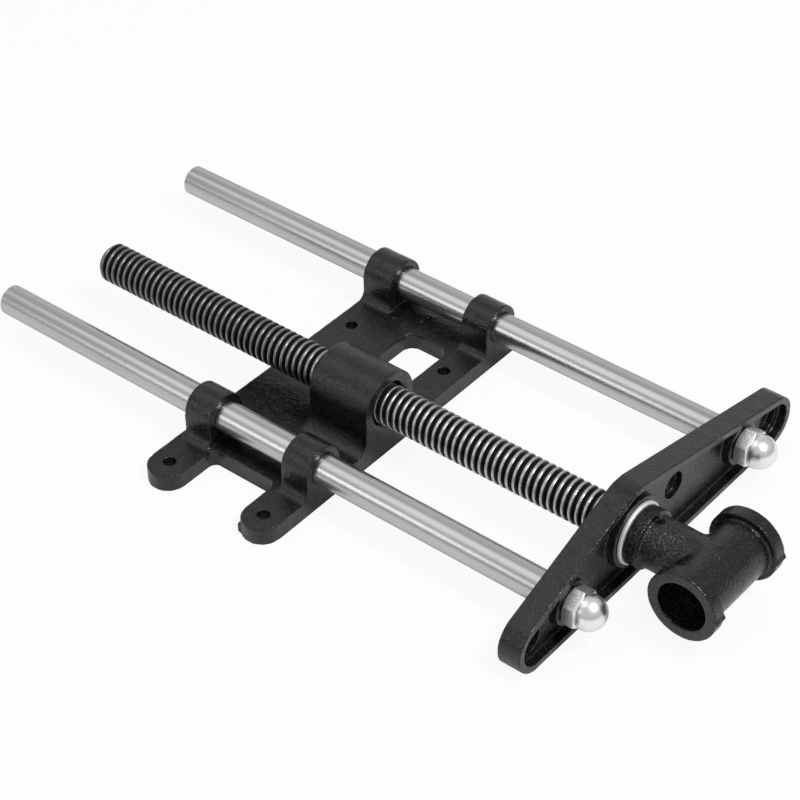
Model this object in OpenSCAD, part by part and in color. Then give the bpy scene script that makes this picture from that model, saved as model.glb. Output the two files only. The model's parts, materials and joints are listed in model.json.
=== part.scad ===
// Woodworking front vise: cast bracket, two guide rods, lead screw, front plate and tee hub.
// Millimetres. Origin: centre of the four bench holes, on the mounting face.
// +X from the near rod to the far rod, +Y to the rear end of the screw, +Z away from the bench.

/* [Bracket] */
// Spacing of the bench holes along the bench edge
bench_hole_px = 170; // [150:1:200]
// Spacing of the bench holes across the bracket
bench_hole_py = 76; // [66:1:100]
// Diameter of the bench holes
bench_hole_d = 7.5; // [4:0.5:9]
// Radius of the ears round the near holes, also the edge distance of all four holes
ear_r = 13; // [10:0.5:16]
// Distance from a near hole to the centre of the round end of its ear
ear_nose = 1.5; // [0:0.5:4]
// Distance from the near holes to the near rod
ear_reach = 40; // [34:0.5:50]
// Thickness of the base
base_t = 12; // [8:0.5:15]
// Outer diameter of the rod bosses
boss_d = 30; // [27:0.5:36]
// Length of the front rod bosses
boss_len = 21; // [14:0.5:28]
// Distance from the rear edge to the front faces of the rear rod bosses
rear_boss_len = 24; // [16:0.5:28]
// Set-back of the near rear boss from the rear edge
rear_boss_inset = 3; // [0.5:0.5:6]
// Outer diameter of the threaded nut boss
nut_boss_d = 45; // [38:0.5:56]
// Length of the threaded nut boss
nut_boss_len = 46; // [30:1:60]
// Diameter of the countersinks at both ends of the nut thread
nut_sink_d = 32; // [29:0.5:36]
// Fillet at the foot of the nut boss
nut_fillet = 10; // [3:0.5:11]
// Fillet at the foot of the rod bosses
boss_fillet = 6; // [2:0.5:9]
// Fillet in the corners between the ears and the base
ear_fillet = 5; // [2:0.5:8]
// Width of the window beside the nut boss
window_w = 50; // [30:1:56]
// Depth of the window
window_d = 32; // [20:1:44]
// Corner radius of the window
window_r = 8; // [3:0.5:9]
// Width of the strip in front of the window
front_strip = 23; // [18:0.5:30]
// Distance from the window to the axis of the far rod
window_to_rod = 24; // [17:0.5:30]

/* [Guide rods] */
// Diameter of the guide rods
rod_d = 20; // [17:0.5:22]
// Spacing of the guide rods
rod_pitch = 172; // [165:1:200]
// Height of the rod axes above the mounting face
rod_h = 27; // [24:0.5:36]
// Plain length of a rod behind the front plate
rod_len = 433; // [380:1:600]
// Chamfer on the rear end of a rod
rod_chamfer = 1.2; // [0.4:0.1:3]
// Diameter of the stud on the front end of a rod
stud_d = 14; // [10:1:15]

/* [Lead screw] */
// Outer diameter of the thread
screw_d = 26; // [24:1:30]
// Pitch of the thread
screw_pitch = 5; // [4.5:0.5:7]
// Depth of the thread
thread_depth = 2.75; // [2:0.25:3]
// Width of the thread crest
crest_w = 1.8; // [1.4:0.1:2.4]
// Slope of the thread flanks from square
flank_angle = 15; // [5:1:18]
// Length of the screw behind the front plate
screw_len = 405; // [340:1:560]
// Distance from the near rod to the screw along X
screw_from_rod = 62; // [56:0.5:75]
// Height of the screw axis above the mounting face
screw_h = 35.5; // [30:0.5:44]
// Diameter of the plain journal that turns in the front plate
journal_d = 18; // [12:0.5:19]

/* [Front plate] */
// Gap between the bracket and the front plate as stored
jaw_gap = 166; // [40:1:220]
// Reach of the front plate past the near rod
plate_near = 48; // [42:0.5:70]
// Reach of the front plate past the far rod
plate_far = 55; // [42:0.5:80]
// Thickness of the front plate
plate_t = 15.5; // [10:0.5:20]
// Height of the straight lower edge above the mounting face
plate_lift = 0; // [0:0.5:4]
// Radius of the plate ends
plate_end_r = 17.5; // [14:0.5:22]
// Distance from the screw axis up to the crown of the plate
crown_reach = 32.5; // [30:0.5:42]
// Radius of the crown
crown_r = 30; // [20:0.5:30]
// Width of the rim
rim_w = 5; // [2.5:0.5:6]
// Depth of the recess inside the rim
recess = 6; // [3:0.5:9]
// Diameter of the raised pads under the acorn nuts
pad_d = 29; // [24:0.5:34]
// Diameter of the raised pad round the screw
hub_pad_d = 46; // [42:0.5:52]
// Diameter of the holes for the wooden jaw
jaw_hole_d = 7; // [4:0.5:9]
// Diameter of the counterbores of these holes
jaw_sink_d = 17; // [12:0.5:19]
// Depth of the counterbores
jaw_sink_h = 4.5; // [2:0.5:8]
// Distance from the screw to the inner jaw hole
jaw_hole_from_screw = 45.5; // [40:0.5:52]

/* [Tee hub] */
// Distance from the washer to the axis of the handle bore
tee_reach = 51; // [48:0.5:70]
// Length of the tee along the handle
tee_len = 70; // [60:1:90]
// Outer diameter of the tee between its collars
tee_d = 37; // [35:0.5:41]
// Diameter of the handle bore
handle_bore_d = 31; // [20:0.5:32]
// Outer diameter of the end collars
collar_d = 45.5; // [42:0.5:52]
// Width of the end collars
collar_w = 9; // [5:0.5:13]
// Height of the parting ridge on the front of the end collars
ridge_h = 1.5; // [0.5:0.1:2.5]
// Width of the root of that ridge
ridge_w = 10; // [6:0.5:12]
// Diameter of the neck
neck_d = 33; // [29:0.5:36]
// Diameter of the collar at the foot of the neck
neck_collar_d = 37.5; // [36:0.5:40]
// Width of the collar at the foot of the neck
neck_collar_w = 9; // [5:0.5:9]
// Depth of the socket for the screw
socket_depth = 28; // [22:0.5:30]
// Diameter of the cross pin
pin_d = 6; // [4:0.5:6]
// Distance from the washer to the cross pin
pin_from_washer = 11.5; // [11:0.5:17]
// Depth of the pin's ends below the surface of the neck
pin_inset = 1; // [0.5:0.5:3]

/* [Nuts and washer] */
// Hexagon width across flats
hex_af = 22; // [20:1:24]
// Height of the hexagon
hex_h = 9.5; // [8:0.5:11]
// Diameter of the round face that is left on top of the hexagon by its chamfer
hex_face_d = 21; // [19:0.2:22]
// Slope of that chamfer
hex_slope = 30; // [20:1:45]
// Diameter of the dome
dome_d = 21.8; // [18:0.2:23]
// Overall height of an acorn nut
acorn_h = 22.5; // [20:0.5:26]
// Depth of the stud hole in an acorn nut
acorn_bore = 14; // [12:0.5:16]
// Outer diameter of the thrust washer
washer_d = 40; // [36:0.5:44]
// Thickness of the thrust washer
washer_t = 2.5; // [1.5:0.1:3]

/* [Fits] */
// Running clearance of the rods and the journal, on radius
run_gap = 0.08; // [0.04:0.01:0.1]
// Clearance of fixed fits, on radius
fixed_gap = 0.05; // [0.02:0.01:0.1]
// End play of the screw in the front plate
end_play = 0.3; // [0.2:0.1:0.5]
// Clearance of the nut thread, on radius
thread_gap_r = 0.5; // [0.4:0.1:0.7]
// Clearance of the nut thread, along the axis on each flank
thread_gap_y = 0.35; // [0.2:0.05:0.4]

/* [Hidden] */
$fn = 64;
cut = 1;
seam = 0.01;
seg = 16;

bench_x = bench_hole_px / 2;
bench_y = bench_hole_py / 2;
front_y = -bench_y - ear_r;
rear_y = bench_y + ear_r;
ear_x = -bench_x - ear_nose;
near_x = -bench_x + ear_reach;
far_x = near_x + rod_pitch;
screw_x = near_x + screw_from_rod;
base_left = near_x - boss_d / 2;
base_right = far_x + boss_d / 2;

plate_rear = front_y - jaw_gap;
plate_front = plate_rear - plate_t;
washer_front = plate_front - washer_t;
socket_end = washer_front - socket_depth;
tee_y = washer_front - tee_reach;
crown = [screw_x, screw_h + crown_reach - crown_r];
near_end = [near_x - plate_near + plate_end_r, plate_lift + plate_end_r];
far_end = [far_x + plate_far - plate_end_r, plate_lift + plate_end_r];

root_r = screw_d / 2 - thread_depth;
flank_w = thread_depth * tan(flank_angle);
land_w = screw_pitch - crest_w - 2 * flank_w;
screw_front = plate_rear + end_play;
screw_rear = plate_rear + screw_len;
nut_turns = ceil((nut_boss_len + 4 * screw_pitch) / screw_pitch);
nut_phase = floor((front_y - 2 * screw_pitch - screw_front) / screw_pitch) * screw_pitch;

// A round bar along Y from y0 to y1
module bar_y(x, z, d, y0, y1) {
    translate([x, y1, z]) rotate([90, 0, 0]) cylinder(d = d, h = y1 - y0);
}

// A round bar along X from x0 to x1
module bar_x(y, z, d, x0, x1) {
    translate([x0, y, z]) rotate([0, 90, 0]) cylinder(d = d, h = x1 - x0);
}

// A block between two corners
module block(a, b) {
    translate(a) cube(b - a);
}

// A hollow fillet along Y in the corner at (x, z), on the side that dir points to
module foot_fillet(x, z, dir, r, y0, y1) {
    translate([x, y1, z]) rotate([90, 0, 0]) linear_extrude(y1 - y0)
        scale([dir, 1]) difference() {
            translate([-cut, -cut]) square(r + cut);
            translate([r, r]) circle(r);
        }
}

// A hollow upright fillet in the corner at (x, y), towards -X and the side that dir points to
module corner_fillet(x, y, dir, r, h) {
    translate([x, y, 0]) linear_extrude(h) scale([-1, dir]) difference() {
        translate([-cut, -cut]) square(r + cut);
        translate([r, r]) circle(r);
    }
}

// A boss along Y with straight sides down to the base
module boss_on_base(x, z, d, y0, y1) {
    bar_y(x, z, d, y0, y1);
    block([x - d / 2, y0, 0], [x + d / 2, y1, z]);
}

// Thread growth at section i of m: it starts and ends over half a turn
function growth(i, m) = min(1, 2 * i / seg, 2 * (m - i) / seg);
function on_helix(i, r, y) = [r * sin(360 * i / seg), y, r * cos(360 * i / seg)];

// A right-hand thread along +Y: a strip of land, flank, crest and flank wound round a core
module helix(turns, root, crest, land, flank, tip) {
    m = seg * turns;
    step = screw_pitch / seg;
    start = 4 * (m + 1);
    ring = start + seg;
    strip = [for (i = [0:m]) let (r = root + (crest - root) * growth(i, m), y = i * step) each [
        on_helix(i, root, y),
        on_helix(i, root, y + land),
        on_helix(i, r, y + land + flank),
        on_helix(i, r, y + land + flank + tip)]];
    last_land = [for (i = [m + 1:m + seg]) on_helix(i, root, i * step)];
    front_ring = [for (j = [0:seg - 1]) on_helix(j, root, -cut)];
    rear_ring = [for (j = [0:seg - 1]) on_helix(m + j, root, (m + seg) * step + cut)];
    lands = [for (i = [0:m + seg]) i <= m ? 4 * i : start + i - m - 1];
    bands = [for (i = [0:m - 1], k = [0, 2]) [4 * i + k, 4 * i + k + 1, 4 * i + k + 5, 4 * i + k + 4]];
    rises = [for (i = [0:m - 1]) each [
        [4 * i + 1, 4 * i + 2, 4 * i + 6],
        [4 * i + 1, 4 * i + 6, 4 * i + 5]]];
    falls = [for (i = [0:m - 1]) each [
        [4 * i + 3, lands[i + seg], lands[i + seg + 1]],
        [4 * i + 3, lands[i + seg + 1], 4 * i + 7]]];
    front_band = [for (j = [0:seg - 2]) [ring + j, lands[j], lands[j + 1], ring + j + 1]];
    front_edge = [lands[seg - 1], lands[seg], 3, 2, 1, 0, ring];
    front_join = [for (k = [0:5]) [ring + seg - 1, front_edge[k], front_edge[k + 1]]];
    rear_edge = [4 * m, 4 * m + 1, 4 * m + 2, 4 * m + 3, lands[m + seg], ring + seg, ring + seg + 1];
    rear_join = [for (k = [0:5]) [lands[m + 1], rear_edge[k], rear_edge[k + 1]]];
    rear_band = [for (j = [1:seg - 1])
        [lands[m + j], ring + seg + j, ring + seg + (j + 1) % seg, lands[m + j + 1]]];
    caps = [[for (j = [0:seg - 1]) ring + j], [for (j = [seg - 1:-1:0]) ring + seg + j]];
    polyhedron(points = concat(strip, last_land, front_ring, rear_ring),
        faces = concat(bands, rises, falls, front_band, front_join, rear_join, rear_band, caps));
}

module bracket() {
    color([0.09, 0.09, 0.1]) difference() {
        union() {
            block([base_left, front_y, 0], [base_right, rear_y, base_t]);
            for (s = [-1, 1]) {
                translate([ear_x, s * bench_y, 0]) cylinder(r = ear_r, h = base_t);
                block([ear_x, s * bench_y - ear_r, 0],
                    [base_left + cut, s * bench_y + ear_r, base_t]);
                corner_fillet(base_left, s * (bench_y - ear_r), -s, ear_fillet, base_t);
            }
            near_boss(front_y, front_y + boss_len);
            near_boss(rear_y - rear_boss_len, rear_y - rear_boss_inset);
            far_boss(front_y, front_y + boss_len);
            far_boss(rear_y - rear_boss_len, rear_y);
            boss_on_base(screw_x, screw_h, nut_boss_d, front_y, front_y + nut_boss_len);
            for (s = [-1, 1])
                foot_fillet(screw_x + s * nut_boss_d / 2, base_t, s, nut_fillet,
                    front_y, front_y + nut_boss_len);
        }
        for (x = [near_x, far_x])
            bar_y(x, rod_h, rod_d + 2 * run_gap, front_y - cut, rear_y + cut);
        for (x = [-bench_x, bench_x], y = [-bench_y, bench_y])
            translate([x, y, -cut]) cylinder(d = bench_hole_d, h = base_t + 2 * cut);
        window();
        nut_thread();
        nut_sink(front_y, 1);
        nut_sink(front_y + nut_boss_len, -1);
    }
}

// A boss for the near rod, filleted on both sides
module near_boss(y0, y1) {
    boss_on_base(near_x, rod_h, boss_d, y0, y1);
    for (s = [-1, 1]) foot_fillet(near_x + s * boss_d / 2, base_t, s, boss_fillet, y0, y1);
}

// A boss for the far rod, on the edge of the base
module far_boss(y0, y1) {
    boss_on_base(far_x, rod_h, boss_d, y0, y1);
    foot_fillet(far_x - boss_d / 2, base_t, -1, boss_fillet, y0, y1);
}

// The cut-out in the base beside the nut boss
module window() {
    x1 = far_x - window_to_rod;
    y0 = front_y + front_strip;
    translate([x1 - window_w, y0, -cut]) linear_extrude(base_t + 2 * cut) {
        translate([window_r, 0]) square([window_w - 2 * window_r, window_d]);
        translate([0, window_r]) square([window_w, window_d - 2 * window_r]);
        for (x = [window_r, window_w - window_r], y = [window_r, window_d - window_r])
            translate([x, y]) circle(window_r);
    }
}

// The space of the nut thread: the screw thread with its clearances
module nut_thread() {
    translate([screw_x, screw_front + cut + nut_phase + thread_gap_y, screw_h])
        helix(nut_turns, root_r + thread_gap_r, screw_d / 2 + thread_gap_r,
            land_w - 2 * thread_gap_y, flank_w, crest_w + 2 * thread_gap_y);
}

// A countersink of the nut thread in the face at y, sunk to the side that dir points to
module nut_sink(y, dir) {
    hole_d = screw_d + 2 * thread_gap_r;
    depth = (nut_sink_d - hole_d) / 2;
    translate([screw_x, y, screw_h]) rotate([-90 * dir, 0, 0])
        cylinder(d1 = nut_sink_d, d2 = hole_d, h = depth);
}

module guide_rod(x) {
    color([0.75, 0.75, 0.76]) {
        translate([x, plate_rear, rod_h]) rotate([-90, 0, 0]) {
            cylinder(d = rod_d, h = rod_len - rod_chamfer);
            translate([0, 0, rod_len - rod_chamfer])
                cylinder(d1 = rod_d, d2 = rod_d - 2 * rod_chamfer, h = rod_chamfer);
        }
        bar_y(x, rod_h, stud_d, plate_front - acorn_bore + cut, plate_rear + cut);
    }
}

module guide_rod_near() { guide_rod(near_x); }

module guide_rod_far() { guide_rod(far_x); }

module lead_screw() {
    turns = floor((screw_len - end_play - 2 * cut) / screw_pitch) - 1;
    color([0.3, 0.3, 0.31]) difference() {
        union() {
            translate([screw_x, screw_front + cut, screw_h])
                helix(turns, root_r, screw_d / 2, land_w, flank_w, crest_w);
            bar_y(screw_x, screw_h, journal_d, socket_end, screw_front + cut);
        }
        pin_hole();
    }
}

// The cross hole for the pin, through the neck and the journal
module pin_hole() {
    translate([screw_x, washer_front - pin_from_washer, screw_h - neck_d])
        cylinder(d = pin_d + 2 * fixed_gap, h = 2 * neck_d);
}

// Direction square to the line that touches two circles from above
function touch(a, b, ra, rb) =
    let (t = atan2(b[1] - a[1], b[0] - a[0]) + acos((ra - rb) / norm(b - a))) [cos(t), sin(t)];

// Outline of the front plate drawn in by a margin, seen from the front. Its straight edges start a
// hair inside the rounds, so that they cross the rounds and don't only touch them.
module plate_outline(inset) {
    l = near_end;
    c = crown;
    r = far_end;
    re = plate_end_r - inset;
    rc = crown_r - inset;
    nl = touch(l, c, re, rc);
    nr = touch(c, r, rc, re);
    pe = re - seam;
    pc = rc - seam;
    polygon([[l[0], l[1] - pe], [r[0], r[1] - pe], r + pe * nr, c + pc * nr, c + pc * nl, l + pe * nl]);
    translate(l) circle(re);
    translate(c) circle(rc);
    translate(r) circle(re);
}

// A slab of that outline, from y forwards by its thickness t
module plate_slab(y, t, inset) {
    translate([0, y, 0]) rotate([90, 0, 0]) linear_extrude(t) plate_outline(inset);
}

module front_plate() {
    color([0.09, 0.09, 0.1]) difference() {
        union() {
            difference() {
                plate_slab(plate_rear, plate_t, 0);
                plate_slab(plate_front + recess, recess + cut, rim_w);
            }
            intersection() {
                for (x = [near_x, far_x]) bar_y(x, rod_h, pad_d, plate_front, plate_rear);
                plate_slab(plate_rear, plate_t, 0);
            }
            bar_y(screw_x, screw_h, hub_pad_d, plate_front, plate_rear);
        }
        for (x = [near_x, far_x])
            bar_y(x, rod_h, stud_d + 2 * fixed_gap, plate_front - cut, plate_rear + cut);
        bar_y(screw_x, screw_h, journal_d + 2 * run_gap, plate_front - cut, plate_rear + cut);
        for (p = [near_end, [screw_x + jaw_hole_from_screw, screw_h], far_end]) jaw_hole(p);
    }
}

// A counterbored hole from the recess through the plate
module jaw_hole(p) {
    bar_y(p[0], p[1], jaw_hole_d, plate_front, plate_rear + cut);
    bar_y(p[0], p[1], jaw_sink_d, plate_front, plate_front + recess + jaw_sink_h);
}

module thrust_washer() {
    color([0.8, 0.8, 0.8]) difference() {
        bar_y(screw_x, screw_h, washer_d, washer_front, plate_front);
        bar_y(screw_x, screw_h, journal_d + 2 * run_gap, washer_front - cut, plate_front + cut);
    }
}

module tee_hub() {
    color([0.12, 0.12, 0.12]) difference() {
        union() {
            bar_y(screw_x, screw_h, neck_d, tee_y, washer_front);
            bar_y(screw_x, screw_h, neck_collar_d, washer_front - neck_collar_w, washer_front);
            bar_x(tee_y, screw_h, tee_d, screw_x - tee_len / 2, screw_x + tee_len / 2);
            for (x = [screw_x - tee_len / 2, screw_x + tee_len / 2 - collar_w]) {
                bar_x(tee_y, screw_h, collar_d, x, x + collar_w);
                collar_ridge(x);
            }
        }
        bar_x(tee_y, screw_h, handle_bore_d, screw_x - tee_len / 2 - cut, screw_x + tee_len / 2 + cut);
        bar_y(screw_x, screw_h, journal_d + 2 * fixed_gap, socket_end - fixed_gap, washer_front + cut);
        pin_hole();
    }
}

// The ridge that the parting line of the mould leaves on the front of a collar
module collar_ridge(x) {
    tip = collar_d / 2 + ridge_h;
    root = collar_d / 2 - ridge_h;
    translate([x, tee_y, screw_h]) rotate([90, 0, 90]) linear_extrude(collar_w)
        polygon([[-tip, 0], [-root, -ridge_w / 2], [-root, ridge_w / 2]]);
}

module hub_pin() {
    color([0.35, 0.35, 0.36])
        translate([screw_x, washer_front - pin_from_washer, screw_h - neck_d / 2 + pin_inset])
            cylinder(d = pin_d, h = neck_d - 2 * pin_inset);
}

module acorn_nut(x) {
    color([0.85, 0.85, 0.86]) translate([x, plate_front, rod_h]) rotate([90, 0, 0]) difference() {
        union() {
            intersection() {
                cylinder(d = hex_af / cos(30), h = hex_h, $fn = 6);
                cylinder(d1 = hex_face_d + 2 * hex_h / tan(hex_slope), d2 = hex_face_d, h = hex_h);
            }
            cylinder(d = dome_d, h = acorn_h - dome_d / 2);
            translate([0, 0, acorn_h - dome_d / 2]) sphere(d = dome_d);
        }
        translate([0, 0, -cut]) cylinder(d = stud_d + 2 * fixed_gap, h = acorn_bore + cut);
    }
}

module acorn_nut_near() { acorn_nut(near_x); }

module acorn_nut_far() { acorn_nut(far_x); }

bracket();
guide_rod_near();
guide_rod_far();
lead_screw();
front_plate();
thrust_washer();
tee_hub();
hub_pin();
acorn_nut_near();
acorn_nut_far();
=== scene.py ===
# %% [markdown]
# # A woodworking front vise
# The vise is bench hardware: a cast bracket is screwed under the bench top, two ground rods and a lead
# screw run through it, and a cast front plate carries the wooden jaw. This lesson dresses the packed
# construction model with modelled pieces and procedural finishes. Every size is in metres, in the
# construction's own frame: X along the bench edge, Y along the rods to their rear ends, Z away from the
# mounting face.

# %% Load the frame
import json
import math

import bmesh
import bpy
from mathutils import Matrix, Vector, noise


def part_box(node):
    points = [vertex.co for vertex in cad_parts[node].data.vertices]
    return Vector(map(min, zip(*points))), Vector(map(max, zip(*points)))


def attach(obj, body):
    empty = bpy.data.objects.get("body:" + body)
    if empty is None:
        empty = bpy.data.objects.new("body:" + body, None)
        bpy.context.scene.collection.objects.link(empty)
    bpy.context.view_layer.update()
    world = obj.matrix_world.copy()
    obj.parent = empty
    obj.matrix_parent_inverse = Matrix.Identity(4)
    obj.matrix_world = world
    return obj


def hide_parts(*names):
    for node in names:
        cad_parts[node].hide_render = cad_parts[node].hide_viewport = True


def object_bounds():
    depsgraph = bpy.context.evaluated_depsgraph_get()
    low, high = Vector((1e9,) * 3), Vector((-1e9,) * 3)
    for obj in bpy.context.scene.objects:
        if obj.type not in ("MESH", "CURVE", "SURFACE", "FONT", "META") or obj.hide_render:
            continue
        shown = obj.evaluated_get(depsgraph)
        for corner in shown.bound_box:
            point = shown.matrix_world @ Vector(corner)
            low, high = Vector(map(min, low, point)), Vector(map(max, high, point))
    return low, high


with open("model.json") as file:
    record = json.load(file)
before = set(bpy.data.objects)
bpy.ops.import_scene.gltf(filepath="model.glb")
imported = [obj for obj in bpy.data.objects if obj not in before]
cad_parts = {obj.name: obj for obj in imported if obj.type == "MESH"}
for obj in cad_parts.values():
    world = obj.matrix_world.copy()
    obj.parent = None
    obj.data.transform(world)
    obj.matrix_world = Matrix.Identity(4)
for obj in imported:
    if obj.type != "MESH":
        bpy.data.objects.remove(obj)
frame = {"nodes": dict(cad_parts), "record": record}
cad_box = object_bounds()
scene = bpy.context.scene
scene.view_settings.view_transform = "Standard"

bodies = frame["record"]["behaviour"]["bodies"]
BODY_OF = {node: body for body, nodes in bodies.items() for node in nodes}
print("nodes and their bodies:", BODY_OF)

# %% [markdown]
# ## Where the camera stands
# The photograph was taken with a long lens from the front left. Its position and angles were solved from
# the edges of the rods and the bracket, so they are written here as plain numbers: a lens length for a 36
# mm sensor, a place, two view angles and a very small roll. The tiny shift puts the optical centre where it
# was.

# %% Camera
LENS_MM = 107.6
SENSOR_MM = 36
CAMERA_AT = Vector((-0.8256, -0.7695, 0.9629))
AZIMUTH = math.radians(-50.22)
ELEVATION = math.radians(39.90)
ROLL = math.radians(-0.994)
SHIFT = (-0.0148, 0.0028)


def add_camera():
    """A camera whose axes come from the azimuth, elevation and roll."""
    lens = bpy.data.cameras.new("camera")
    lens.lens = LENS_MM
    lens.sensor_width = SENSOR_MM
    lens.shift_x, lens.shift_y = SHIFT
    flat = math.cos(ELEVATION)
    back = Vector((math.sin(AZIMUTH) * flat, -math.cos(AZIMUTH) * flat, math.sin(ELEVATION)))
    level = Vector((math.cos(AZIMUTH), math.sin(AZIMUTH), 0))
    upright = back.cross(level)
    right = level * math.cos(ROLL) + upright * math.sin(ROLL)
    up = upright * math.cos(ROLL) - level * math.sin(ROLL)
    camera = bpy.data.objects.new("camera", lens)
    turn = Matrix((right, up, back)).transposed().to_4x4()
    camera.matrix_world = Matrix.Translation(CAMERA_AT) @ turn
    scene.collection.objects.link(camera)
    scene.camera = camera
    return camera


camera = add_camera()
print("camera at", tuple(round(v, 3) for v in camera.location), "lens", LENS_MM, "mm")

# %% [markdown]
# ## Sizes that the pieces share
# A node's box gives most sizes: the rods' axes and lengths, the screw's axis, the faces of the plate. Only
# what a box can't show, such as the depth of a thread or the radius of a bore, is written down as a number.

# %% Shared sizes
MM = 0.001
X_AXIS = Vector((1, 0, 0))
Y_AXIS = Vector((0, 1, 0))
Z_AXIS = Vector((0, 0, 1))

bracket_lo, bracket_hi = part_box("bracket")
plate_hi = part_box("front_plate")[1]
screw_lo, screw_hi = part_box("lead_screw")
hub_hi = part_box("tee_hub")[1]
rod_boxes = {node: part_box(node) for node in ("guide_rod_near", "guide_rod_far")}


def middle(box):
    """The centre of a box."""
    return (box[0] + box[1]) / 2


def half_width(box):
    """Half of a box's size along X, which is the radius of a round piece."""
    return (box[1].x - box[0].x) / 2


screw_axis = middle((screw_lo, screw_hi))
screw_radius = half_width((screw_lo, screw_hi))
screw_line = Vector((screw_axis.x, 0, screw_axis.z))
rod_lines = {node: middle(box) * Vector((1, 0, 1)) for node, box in rod_boxes.items()}
rod_radius = half_width(rod_boxes["guide_rod_near"])
print("screw axis x, z in mm:", round(screw_axis.x / MM, 2), round(screw_axis.z / MM, 2))
print("rod radius in mm:", round(rod_radius / MM, 2))

# %% [markdown]
# ## Small workshop tools
# Three helpers do most of the modelling. The lathe spins a profile of distances and radii round an axis, as
# a real lathe turns a bar. The second makes an object from a mesh, and the last finishes a piece: it rides
# on the body of the node that it stands for and hides that node.

# %% Lathe, object and hand-over
WELD = 0.002 * MM
ROUND_STEPS = 72
SHARP_ANGLE = 35


def lathe(profile, centre, along):
    """A bmesh turned from (distance, radius) pairs round the axis through centre."""
    side = along.orthogonal().normalized()
    bm = bmesh.new()
    verts = [bm.verts.new(centre + along * distance + side * radius) for distance, radius in profile]
    edges = [bm.edges.new(pair) for pair in zip(verts, verts[1:])]
    bmesh.ops.spin(bm, geom=verts + edges, cent=centre, axis=along, dvec=(0, 0, 0), angle=math.tau,
                   steps=ROUND_STEPS, use_merge=True, use_normal_flip=False, use_duplicate=False)
    bmesh.ops.remove_doubles(bm, verts=bm.verts, dist=WELD)
    bmesh.ops.recalc_face_normals(bm, faces=bm.faces)
    return bm


def make_object(name, bm, sharp_angle=SHARP_ANGLE):
    """An object at the origin from a bmesh, smooth but for edges sharper than the angle in degrees."""
    mesh = bpy.data.meshes.new(name)
    bm.to_mesh(mesh)
    bm.free()
    mesh.polygons.foreach_set("use_smooth", [True] * len(mesh.polygons))
    mesh.set_sharp_from_angle(angle=math.radians(sharp_angle))
    piece = bpy.data.objects.new(name, mesh)
    scene.collection.objects.link(piece)
    return piece


def stand_for(piece, node):
    """The piece takes the node's place: its body and its space."""
    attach(piece, BODY_OF[node])
    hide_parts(node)
    print(piece.name, "stands for", node, "with", len(piece.data.polygons), "faces")
    return piece


print("turned pieces have", ROUND_STEPS, "sides")

# %% [markdown]
# ## Working copies and Booleans
# The construction's own meshes are never changed. A casting starts from a copy, whose loose triangles are
# welded first so that modifiers see one skin. Booleans cut a piece by a tool's solid, trim it to that solid
# or join the two. The modifiers are applied at once, so that the next step works on plain mesh.

# %% Copies and Booleans
def merged_copy(name, node):
    """An object with a welded copy of a node's mesh."""
    bm = bmesh.new()
    bm.from_mesh(frame["nodes"][node].data)
    bmesh.ops.remove_doubles(bm, verts=bm.verts, dist=WELD)
    return make_object(name, bm)


def apply_modifiers(piece):
    """Makes what the piece's modifiers show its own mesh."""
    shown = piece.evaluated_get(bpy.context.evaluated_depsgraph_get())
    mesh = bpy.data.meshes.new_from_object(shown)
    piece.modifiers.clear()
    piece.data = mesh


def combine(piece, **tools):
    """Boolean operations by name, each with its tool's bmesh, in the order given."""
    made = {operation: make_object("tool", tool_bm) for operation, tool_bm in tools.items()}
    for operation, tool in made.items():
        boolean = piece.modifiers.new(operation, "BOOLEAN")
        boolean.operation = operation
        boolean.solver = "EXACT"
        boolean.object = tool
    apply_modifiers(piece)
    for tool in made.values():
        bpy.data.objects.remove(tool)
    print(piece.name, "after", " and ".join(made).lower(), "has", len(piece.data.polygons), "faces")


# %% [markdown]
# ## Castings
# The bracket, the front plate and the hub are sand castings: every edge is softly rounded, every inside
# corner has a fillet, and the skin is never quite flat. Bevelling each edge of the construction mesh by
# hand would look too exact. Instead a merged copy is remeshed into small even faces and smoothed, which
# rounds outside and inside corners alike, and a little noise against the normals gives the skin its ripple.
# Faces that a flat stretch doesn't need are then joined.

# %% Casting
TRIANGLE_LIMIT = 190000
SMOOTHING = 0.5


def cast(piece, face_size, softening):
    """Remeshes the piece into faces of this size and rounds its corners."""
    remesh = piece.modifiers.new("remesh", "REMESH")
    remesh.mode = "VOXEL"
    remesh.voxel_size = face_size
    remesh.use_smooth_shade = True
    smooth = piece.modifiers.new("soften", "SMOOTH")
    smooth.factor = SMOOTHING
    smooth.iterations = softening
    apply_modifiers(piece)


def ripple(piece, ripples, machined):
    """Sinks the skin by noise of each (height, size), except where it is machined."""
    for height, size in ripples:
        bm = bmesh.new()
        bm.from_mesh(piece.data)
        bm.normal_update()
        for vert in bm.verts:
            if not machined(vert.co):
                vert.co -= vert.normal * height * (1 + noise.noise(vert.co / size))
        bm.to_mesh(piece.data)
        bm.free()


def thin_out(piece):
    """Joins small faces where the skin is nearly flat, until the piece is light enough to keep."""
    triangles = sum(len(face.vertices) - 2 for face in piece.data.polygons)
    if triangles > TRIANGLE_LIMIT:
        fewer = piece.modifiers.new("fewer", "DECIMATE")
        fewer.ratio = TRIANGLE_LIMIT / triangles
        apply_modifiers(piece)
    print(piece.name, "cast with", triangles, "triangles, kept", len(piece.data.polygons), "faces")


# %% [markdown]
# ## Bored holes
# Holes for the rods are machined after casting. A Boolean could cut them again, but the remesh has left
# their walls nearly in place, so it is enough to push each wall's points back to a true circle. A wall is
# known by its normal, which points at the hole's axis.

# %% Bores
WALL_FACING = -0.8


def radial(point, centre, along):
    """The part of a point's offset from an axis that is square to the axis."""
    offset = point - centre
    return offset - along * offset.dot(along)


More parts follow.
